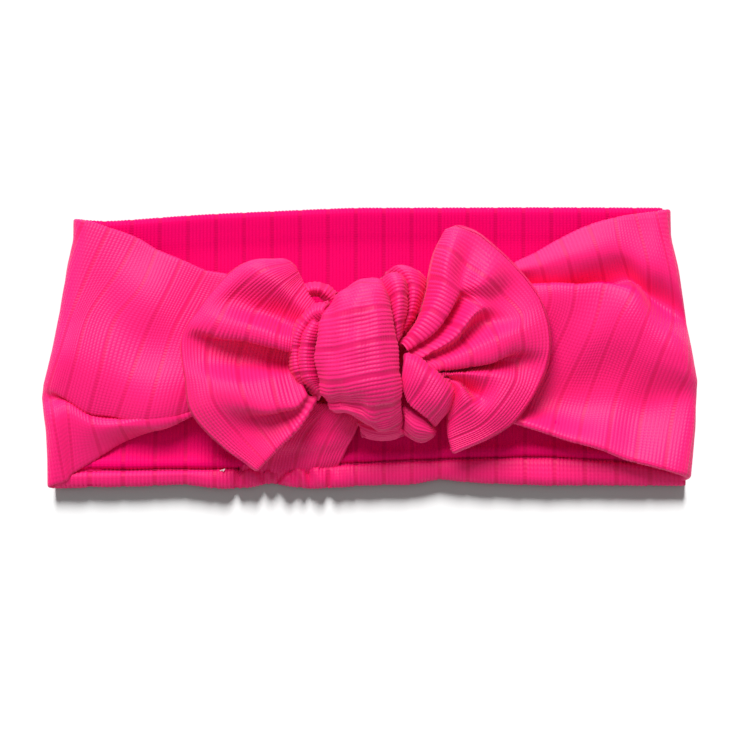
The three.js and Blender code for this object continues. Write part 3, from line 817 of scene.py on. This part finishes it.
# %% Knot wrap
KNOT_REPEAT = 11.5
KNOT_WRAP = [
    [(-9, 19, 24), (-5, 22.5, 24), (0, 24.3, 24), (4, 23, 24), (6, 20, 22)],
    [(-13.5, 16, 28), (-8, 19, 31), (-1, 21, 32.5), (4, 20.5, 31), (6.6, 18, 27)],
    [(-16.5, 11.5, 29), (-10, 13, 34), (-3, 14.5, 36), (4, 15.5, 34.5), (7.5, 14.5, 29)],
    [(-18.7, 5, 29), (-11, 6, 35), (-3, 7.5, 37.5), (4.5, 9, 36), (8.6, 9, 30)],
    [(-19.5, -1.5, 29), (-12, -1, 35), (-3, 1, 38), (5, 2.5, 36.5), (9.7, 2.5, 30)],
    [(-19.2, -8, 28), (-12, -8, 34.5), (-3, -6.5, 37.5), (5.5, -5, 36), (10.8, -4.5, 30)],
    [(-18, -15, 26), (-11, -15.5, 32), (-3, -14, 35.5), (6, -12.5, 34.5), (11.7, -11.5, 29)],
    [(-16, -17.8, 24), (-9.2, -17.8, 29), (-3.4, -18.6, 32), (4.6, -18.4, 33), (11.9, -15.6, 28)],
    [(-15, -19.6, 23), (-8.6, -19.8, 27), (-3.4, -21.2, 29), (3, -23.2, 29.5), (12, -19.4, 26.5)],
    [(-13.6, -21.4, 22), (-7, -22.4, 27.2), (-2.4, -24.2, 27.6), (3.4, -26, 26), (12, -22.4, 25)],
    [(-4, -23, 14), (-1, -25.5, 17), (3, -28.3, 19), (8, -28.8, 20), (11.5, -27, 18)],
    [(-2, -20, 12), (1, -23, 13), (4, -25, 14), (8, -25, 14), (11, -24, 13)],
]
knot_wrap = cloth("knot_wrap_cloth", KNOT_WRAP, 48, knot_knit, ["knot_wrap"],
                  curl=(0, 0, 1.3, 1.3), repeat=KNOT_REPEAT, relief=0.3, start=0.57, crumple=(0.5, 8))
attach(knot_wrap, "front")

# %% Knot rolls and folds
OUTER_ROLL = [
    [(-14, 16, 24), (-15, 14.5, 27), (-15.5, 12.5, 28), (-13.2, 10, 26.5)],
    [(-20.5, 14.8, 22), (-20, 13.5, 27), (-19.5, 11.5, 28.5), (-16.7, 9, 26.5)],
    [(-25, 10.3, 20), (-24, 9.5, 26), (-22.8, 8, 28), (-19.7, 6, 25.5)],
    [(-27.8, 3.5, 19), (-26.8, 3.2, 25), (-25.3, 2.8, 27), (-21.7, 2, 24.5)],
    [(-28.2, -2, 18), (-27.2, -2, 24), (-25.8, -2, 26), (-22.2, -2, 23.5)],
    [(-27.8, -8, 18), (-26.8, -7.8, 23), (-25.4, -7.4, 25), (-22, -7, 22.5)],
    [(-25, -15, 16), (-24.3, -14, 20), (-23.2, -13, 21.5), (-20.2, -12, 19.5)],
]
INNER_ROLL = [
    [(-20.5, 11, 24), (-19.5, 10, 28), (-18.5, 9, 29), (-14.8, 8, 27.5)],
    [(-23.6, 6, 23), (-22.4, 5.6, 28), (-20.6, 5, 29.5), (-16.3, 4.5, 26.5)],
    [(-25.1, 1, 22), (-23.6, 1, 27.5), (-21.6, 0.8, 29), (-17.3, 0.5, 25.5)],
    [(-25.5, -5, 21), (-24, -5, 26.5), (-22, -5, 28), (-17.8, -5, 24.5)],
    [(-24.4, -11, 20), (-23, -10.6, 25), (-21.2, -10.2, 26.5), (-17.3, -10, 23.5)],
    [(-21.5, -15, 18), (-20.5, -14, 22), (-19.5, -13.2, 24), (-16.3, -12.5, 22.5)],
    [(-18, -18.5, 17), (-17.3, -17.3, 20), (-16.5, -16.3, 21.5), (-13.6, -15.3, 20.5)],
]
TOP_FRONT = [
    [(3, 24, 22), (6, 25.8, 25), (9, 26.4, 25), (11.5, 25.2, 22)],
    [(5, 20, 26), (8, 22.5, 29), (11, 23, 28.5), (13, 21.5, 24)],
    [(6.8, 15.5, 27), (9, 17, 30), (11.4, 17.5, 29.5), (13.2, 16.5, 25)],
    [(7.5, 10.5, 27.5), (9.4, 11.5, 30), (11.2, 12, 29), (12.8, 12, 25)],
    [(8.3, 5.5, 27), (9.4, 6.5, 29), (10.6, 7.2, 28), (11.8, 8, 24.5)],
    [(9, 1.5, 26), (9.6, 2.2, 27), (10.3, 2.8, 26.5), (11, 3.5, 24)],
]
TOP_REAR = [
    [(5, 26, 18), (9, 28.6, 21), (13, 28.2, 21), (17, 26, 18)],
    [(8, 24, 20), (12, 26.5, 24), (16, 25.8, 23.5), (19.6, 23.6, 19)],
    [(11.5, 19.5, 21), (14, 21.5, 25), (16.8, 21, 24.5), (19, 19, 20)],
    [(12.5, 13.5, 21), (14, 14.8, 24.5), (15.8, 15, 24), (17.4, 14, 20)],
    [(11.5, 8.5, 21), (12.6, 9.4, 23.5), (14, 9.8, 23), (15.4, 9.5, 20)],
    [(9.5, 3.5, 21), (10.2, 4.2, 22.5), (11, 4.8, 22), (12, 5.2, 20)],
]
LOWER_WRAP = [
    [(12, -1.5, 27), (11.5, -4, 28.5), (11, -8, 28.5), (10.5, -12, 27)],
    [(17, -3, 26.5), (16, -6.5, 29.5), (14, -12, 29.5), (12, -17, 27)],
    [(21.5, -6.5, 25), (20.3, -9.5, 29), (17.3, -15, 29), (13.5, -20, 26)],
    [(26, -10, 23), (24.8, -12.5, 27.5), (21.5, -17.5, 28), (17, -23, 25)],
    [(29.3, -13.5, 20), (28, -16, 24.5), (25, -20.5, 25.5), (20.5, -26, 22)],
    [(30, -18, 16), (28.6, -20, 19.5), (26, -23.5, 20.5), (22.5, -27.5, 18)],
    [(29, -19, 13), (27.6, -21, 14), (25, -24, 14), (21.5, -27, 13)],
]
LOWER_LOBE = [
    [(12, -20, 22), (12, -25, 22), (11.5, -29.8, 16)],
    [(15, -22, 22), (15.5, -28, 22), (16, -32.8, 16)],
    [(18, -24, 21), (19, -29, 21), (19.3, -33.3, 15.5)],
    [(20, -26, 19), (21.5, -29.5, 19.5), (22.4, -31, 15)],
    [(21, -26.5, 16), (22.6, -28.5, 16), (23, -29, 14)],
]
BOTTOM_TUCK = [
    [(-4, -25, 17), (-3.8, -27.5, 18), (-3.3, -29.5, 14)],
    [(-1, -25.5, 18), (-1.5, -29, 18.5), (-1.8, -31.6, 14)],
    [(3, -27, 19), (3, -30, 19), (3, -32.6, 14)],
    [(7, -27, 19.5), (7.5, -30, 19.5), (8, -32.2, 14)],
    [(10.5, -26.5, 19), (11.5, -29, 18.5), (12.6, -30.5, 14)],
]
SMALL_LOOP = [
    [(-25.5, 17.5, 16), (-24.4, 16.8, 19.5), (-22.6, 15.8, 18.5)],
    [(-24.4, 21.2, 17), (-22.6, 19.4, 21.5), (-20.6, 17.4, 19)],
    [(-19.6, 23.0, 17), (-19.3, 20.6, 22), (-19.2, 17.8, 19)],
    [(-14.8, 22.0, 17), (-15.8, 19.6, 21.5), (-17.6, 17.2, 19)],
    [(-10.8, 18.4, 17), (-12.9, 17.0, 20.5), (-15.4, 15.4, 19)],
]
KNOT_FOLDS = [
    ("knot_left_roll_outer", OUTER_ROLL, False, 0.5),
    ("knot_left_roll_inner", INNER_ROLL, False, 0.5),
    ("knot_top_fold_front", TOP_FRONT, False, 0.5),
    ("knot_top_fold_rear", TOP_REAR, False, 0.5),
    ("knot_lower_wrap", LOWER_WRAP, False, 0.9),
    ("knot_lower_lobe", LOWER_LOBE, True, 0.7),
    ("knot_bottom_tuck", BOTTOM_TUCK, True, 0.7),
    ("knot_small_loop", SMALL_LOOP, False, 0.4),
]
for order, (name, guides, crosswise, roll) in enumerate(KNOT_FOLDS):
    piece = cloth(name + "_cloth", guides, 34, knot_knit, [name], curl=(roll, roll, roll, roll),
                  repeat=REPEAT, crosswise=crosswise, under=1.5, crumple=(0.15, 8), seed=20 + order)
    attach(piece, "front")

# %% Knot core
CORE_SHARE = 0.46
CORE_RINGS, CORE_SIDES = 14, 28
low, high = box_mm("knot_core")
centre, reach = (low + high) / 2, (high - low) * CORE_SHARE
core = bpy.data.meshes.new("knot_core_pad")
core_points, core_faces = [], []
for ring in range(CORE_RINGS + 1):
    lift = math.pi * ring / CORE_RINGS - math.pi / 2
    for side in range(CORE_SIDES):
        turn = 2 * math.pi * side / CORE_SIDES
        ray = np.array([math.cos(lift) * math.cos(turn), math.cos(lift) * math.sin(turn), math.sin(lift)])
        core_points.append((centre + reach * ray) * MM)
for ring in range(CORE_RINGS):
    for side in range(CORE_SIDES):
        a, b = ring * CORE_SIDES + side, ring * CORE_SIDES + (side + 1) % CORE_SIDES
        core_faces.append((a, b, b + CORE_SIDES, a + CORE_SIDES))
core.from_pydata([tuple(p) for p in core_points], [], core_faces)
core_pad = in_scene("knot_core_pad", core)
core.materials.append(lining_knit)
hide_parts("knot_core")
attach(core_pad, "front")

# %% [markdown]
# ## The ears
#
# Each ear is the last stretch of the tube, gathered where it leaves the knot. The ribs run round
# it, level with its rim. The left one has two leaves over a deep fold, and the right one has four
# pleats.

# %% Left ear
EAR_CURL = (1.3, 0, 1.0, 1.0)
EAR_DROP = 1.7
EAR_INSET = 0.6
LEFT_EAR = [
    [(-31, 31.2, 18), (-45, 29, 19), (-55, 19.5, 19), (-60.5, 12.8, 18.8), (-63.8, 8.6, 18.5),
     (-65.8, 3, 18),
     (-65.6, -4, 18), (-64.5, -11, 18.5), (-62.6, -23, 18), (-52, -34.5, 17.5), (-39.4, -44, 17)],
    [(-28, 30.5, 21), (-41, 28, 25), (-52, 17.5, 22), (-57, 11, 23), (-59.8, 6.6, 22), (-61, 2.5, 18),
     (-61, -4, 18), (-60, -11, 21.5), (-57.5, -21, 22.5), (-48.5, -32, 19), (-37.5, -41.8, 18)],
    [(-26, 28.6, 22), (-36, 25, 27.5), (-46, 16.6, 21.5), (-49.5, 9, 25.5), (-52, 3.8, 23.5),
     (-53.5, 2.5, 16.5),
     (-54.5, -5, 17), (-53.5, -12, 24), (-51.5, -19.5, 24), (-44.5, -29, 18.5), (-35.5, -39.5, 18.5)],
    [(-25, 26.6, 23), (-32, 21.4, 27), (-40, 13.6, 20.5), (-42.6, 7.6, 26.5), (-44, 2.2, 24.5),
     (-45, 3.2, 16),
     (-47, -5.5, 16.5), (-46, -12.5, 24.5), (-43.5, -20.6, 25), (-40.5, -26.5, 17.5), (-33, -36.5, 19)],
    [(-24, 24.5, 22), (-29, 18.6, 26), (-34, 11.4, 20), (-36, 5.8, 27), (-37, 1, 25), (-38, 3, 16),
     (-40, -5, 16),
     (-39, -12.5, 23.5), (-36.5, -21.8, 25.5), (-35, -24, 17.5), (-30, -33, 20)],
    [(-22.5, 21, 22.5), (-26, 15.8, 25), (-29.5, 9.4, 20.5), (-31, 4, 26.5), (-31.5, -0.5, 25),
     (-32, 2, 16),
     (-34, -5, 15.5), (-33, -11, 22), (-30.5, -21, 25), (-29.5, -23, 18), (-26.5, -28.8, 21)],
    [(-20.5, 17.5, 23), (-23.5, 13.4, 24.5), (-26.4, 7.9, 21), (-27.4, 3, 25.5), (-28, -1.5, 24),
     (-28, 1, 17),
     (-29.5, -5, 15.5), (-28.5, -10, 20), (-25.5, -19.8, 24), (-25, -21.5, 20), (-23, -24, 21)],
    [(-19, 15.5, 23), (-21, 12, 24), (-23.6, 7, 22), (-25, 3, 24.5), (-25.5, -2, 23), (-25, 0, 18),
     (-26, -5, 17),
     (-25, -9, 20), (-22, -15.5, 22), (-21, -17, 21), (-18.5, -17.5, 20)],
]
left_ear = cloth("left_ear_cloth", LEFT_EAR, 110, ear_knit,
                 ["left_ear_upper_leaf", "left_ear_lower_leaf"], curl=EAR_CURL)
left_ear_under = cloth("left_ear_under_cloth", lowered(LEFT_EAR, EAR_DROP, EAR_INSET), 60, ear_knit,
                       ["left_ear_under_layer"], relief=0.1, fine=HIDDEN,
                       thickness=LINING_JERSEY)
for piece in (left_ear, left_ear_under):
    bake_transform(piece)

# %% Right ear
RIGHT_EAR = [
    [(26, 41.5, 19), (31, 42.6, 20), (38, 40, 20), (46.8, 32.6, 19), (54, 25, 18), (59.5, 17.5, 18),
     (62.5, 9, 18), (63.2, 0, 18), (61.5, -8, 17.5), (57, -17.5, 17.5), (50, -26.5, 17.5),
     (41, -32.3, 17.5),
     (28.7, -37.6, 17)],
    [(22, 33, 20), (27, 31, 27), (32.5, 26, 24), (38.5, 22, 27), (44, 17, 21), (50, 11, 21.5),
     (50.5, 5, 25),
     (51, -1, 23), (49, -4, 17), (48.5, -11, 21), (43, -20, 22), (37, -26, 20), (27, -31, 18)],
    [(19, 20, 21), (24, 19.5, 28), (29.5, 16.5, 27), (30, 15.5, 21), (36.5, 12, 27.5), (37, 8, 20),
     (41, 1.5, 25.5), (42, -5, 24), (40, -6, 17), (38, -9.5, 23), (36, -16, 17), (33, -17, 24),
     (27, -24, 18)],
    [(15.5, 9, 22), (18.5, 9.5, 27), (23, 6.5, 27), (23, 5.5, 22), (28.5, 3, 26.5), (28.5, 0.5, 21),
     (31, -3, 25), (31.5, -7, 24), (30.5, -8, 18), (30, -9, 23), (31, -12, 20), (30.5, -13, 23),
     (28, -18, 19)],
    [(10, 1.5, 24), (11.5, 1, 25.5), (13, -1, 25.5), (13, -1.5, 23), (17, -4, 25), (17, -4.5, 22),
     (21, -6.5, 24), (22, -8.5, 23.5), (22, -8.8, 20), (24, -9.5, 22), (25, -10.5, 20), (26, -11, 21),
     (26, -13, 19)],
]
right_ear = cloth("right_ear_cloth", RIGHT_EAR, 130, ear_knit,
                  ["right_ear_pleat_1", "right_ear_pleat_2", "right_ear_pleat_3", "right_ear_pleat_4",
                   "right_ear_lower_roll", "right_ear_rim"], curl=EAR_CURL)
right_ear_under = cloth("right_ear_under_cloth", lowered(RIGHT_EAR, EAR_DROP, EAR_INSET), 70, ear_knit,
                        ["right_ear_under_layer"], relief=0.1, fine=HIDDEN,
                        thickness=LINING_JERSEY)
for piece in (right_ear, right_ear_under):
    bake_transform(piece)

# %% [markdown]
# ## Threads
#
# The tube is closed by one long machine seam, which is finished by hand where it was turned right
# side out. A stitch is a short raised loop of thread. It repeats along a line, so it is one small
# arch set out by Geometry Nodes at a named stitch length.

# %% Stitch tree
HALF_ARCH = 0.46


def stitch_tree():
    tree, inward, outward = shape_tree("stitches along a line", [
        ("Stitch length", 0.0022), ("Thread radius", 0.00025), ("Arch height", 0.0004)])
    length, radius = inward.outputs["Stitch length"], inward.outputs["Thread radius"]
    line = tree.nodes.new("GeometryNodeMeshToCurve")
    tree.links.new(inward.outputs["Geometry"], line.inputs["Mesh"])
    spaced = node(tree, "GeometryNodeCurveToPoints", mode="LENGTH")
    tree.links.new(line.outputs[0], spaced.inputs["Curve"])
    tree.links.new(length, spaced.inputs["Length"])
    arch = tree.nodes.new("GeometryNodeCurveQuadraticBezier")
    arch.inputs["Resolution"].default_value = 6
    ahead = maths(tree, "MULTIPLY", length, HALF_ARCH)
    behind = maths(tree, "MULTIPLY", ahead, -1.0)
    for socket, run, rise in (("Start", behind, 0.0), ("Middle", 0.0, inward.outputs["Arch height"]),
                              ("End", ahead, 0.0)):
        point = tree.nodes.new("ShaderNodeCombineXYZ")
        for axis, value in (("Z", run), ("X", rise)):
            if isinstance(value, float):
                point.inputs[axis].default_value = value
            else:
                tree.links.new(value, point.inputs[axis])
        tree.links.new(point.outputs[0], arch.inputs[socket])
    ring = tree.nodes.new("GeometryNodeCurvePrimitiveCircle")
    ring.inputs["Resolution"].default_value = 8
    tree.links.new(radius, ring.inputs["Radius"])
    tube = tree.nodes.new("GeometryNodeCurveToMesh")
    tube.inputs["Fill Caps"].default_value = True
    tree.links.new(arch.outputs[0], tube.inputs["Curve"])
    tree.links.new(ring.outputs[0], tube.inputs["Profile Curve"])
    place = tree.nodes.new("GeometryNodeInstanceOnPoints")
    tree.links.new(spaced.outputs["Points"], place.inputs["Points"])
    tree.links.new(spaced.outputs["Rotation"], place.inputs["Rotation"])
    tree.links.new(tube.outputs[0], place.inputs["Instance"])
    give_out(tree, place.outputs[0], inward.outputs["Finish"], outward)
    return tree


stitches = stitch_tree()


def stitch_line(name, lines, finish, replaced, body, length, radius, arch):
    """Stitches along one or more lines of points in millimetres."""
    points, edges = [], []
    for line in lines:
        edges += [(len(points) + k, len(points) + k + 1) for k in range(len(line) - 1)]
        points += [tuple(c * MM for c in p) for p in line]
    mesh = bpy.data.meshes.new(name)
    mesh.from_pydata(points, edges, [])
    obj = in_scene(name, mesh)
    settle(obj, stitches, {"Stitch length": length * MM, "Thread radius": radius * MM,
                           "Arch height": arch * MM, "Finish": finish})
    print(f"{name}: {len(obj.data.polygons)} faces")
    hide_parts(*replaced)
    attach(obj, body)


# %% Seam, closing stitches and rim thread
SEAM_HEIGHT = 3.7
SEAM_STEPS = 40
CLOSING = [(-44.5, 1.2), (-36, 1.0), (-26.5, 1.4), (-17, 1.1)]
RIM_INSET = 0.045
RIM_LIFT = np.array([0, 0, 0.5])


def seam_points(first, last):
    return [(x, seam_y(x) - 0.3, SEAM_HEIGHT) for x in np.linspace(first, last, SEAM_STEPS)]


def closing_points(x, lean):
    return [(x - lean, seam_y(x) - 1.6, 4.7), (x, seam_y(x), 4.2), (x + lean, seam_y(x) + 1.3, 4.8)]


stitch_line("long_seam_stitches", [seam_points(-100, -50), seam_points(-10, 104)], thread,
            ["long_seam_left", "long_seam_right"], "back", length=2.0, radius=0.14, arch=0.3)
stitch_line("closing_stitches", [closing_points(x, lean) for x, lean in CLOSING], thread,
            [f"closing_stitch_{k}" for k in range(1, 5)], "back", length=2.0, radius=0.2, arch=0.3)
rim_row = [np.array(rim) * (1 - RIM_INSET) + np.array(inner) * RIM_INSET + RIM_LIFT
           for rim, inner in zip(RIGHT_EAR[0], RIGHT_EAR[1])]
stitch_line("right_ear_rim_stitches", [rim_row[1:-1]], thread, ["right_ear_rim_thread"], "right_ear",
            length=1.6, radius=0.12, arch=0.2)

# %% Thread tail
TAIL = [(-52.6, -43.3, 4.4), (-52.3, -43.1, 5.0), (-51.8, -43.0, 5.3), (-51.3, -42.8, 5.2),
        (-50.9, -42.5, 5.0), (-51.2, -42.9, 5.4), (-51.6, -43.4, 5.2)]
TAIL_RADIUS = 0.2
tail_curve = bpy.data.curves.new("thread_tail_end", "CURVE")
tail_curve.dimensions = "3D"
tail_curve.bevel_depth = TAIL_RADIUS * MM
tail_curve.bevel_resolution = 3
tail_curve.use_fill_caps = True
spline = tail_curve.splines.new("NURBS")
spline.points.add(len(TAIL) - 1)
for point, place in zip(spline.points, TAIL):
    point.co = (*[c * MM for c in place], 1)
spline.use_endpoint_u = True
tail_curve.materials.append(pale_thread)
tail_maker = in_scene("tail maker", tail_curve)
tail_graph = bpy.context.evaluated_depsgraph_get()
tail_mesh = bpy.data.meshes.new_from_object(tail_maker.evaluated_get(tail_graph))
bpy.data.objects.remove(tail_maker)
tail = in_scene("thread_tail_end", tail_mesh)
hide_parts("thread_tail")
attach(tail, "back")
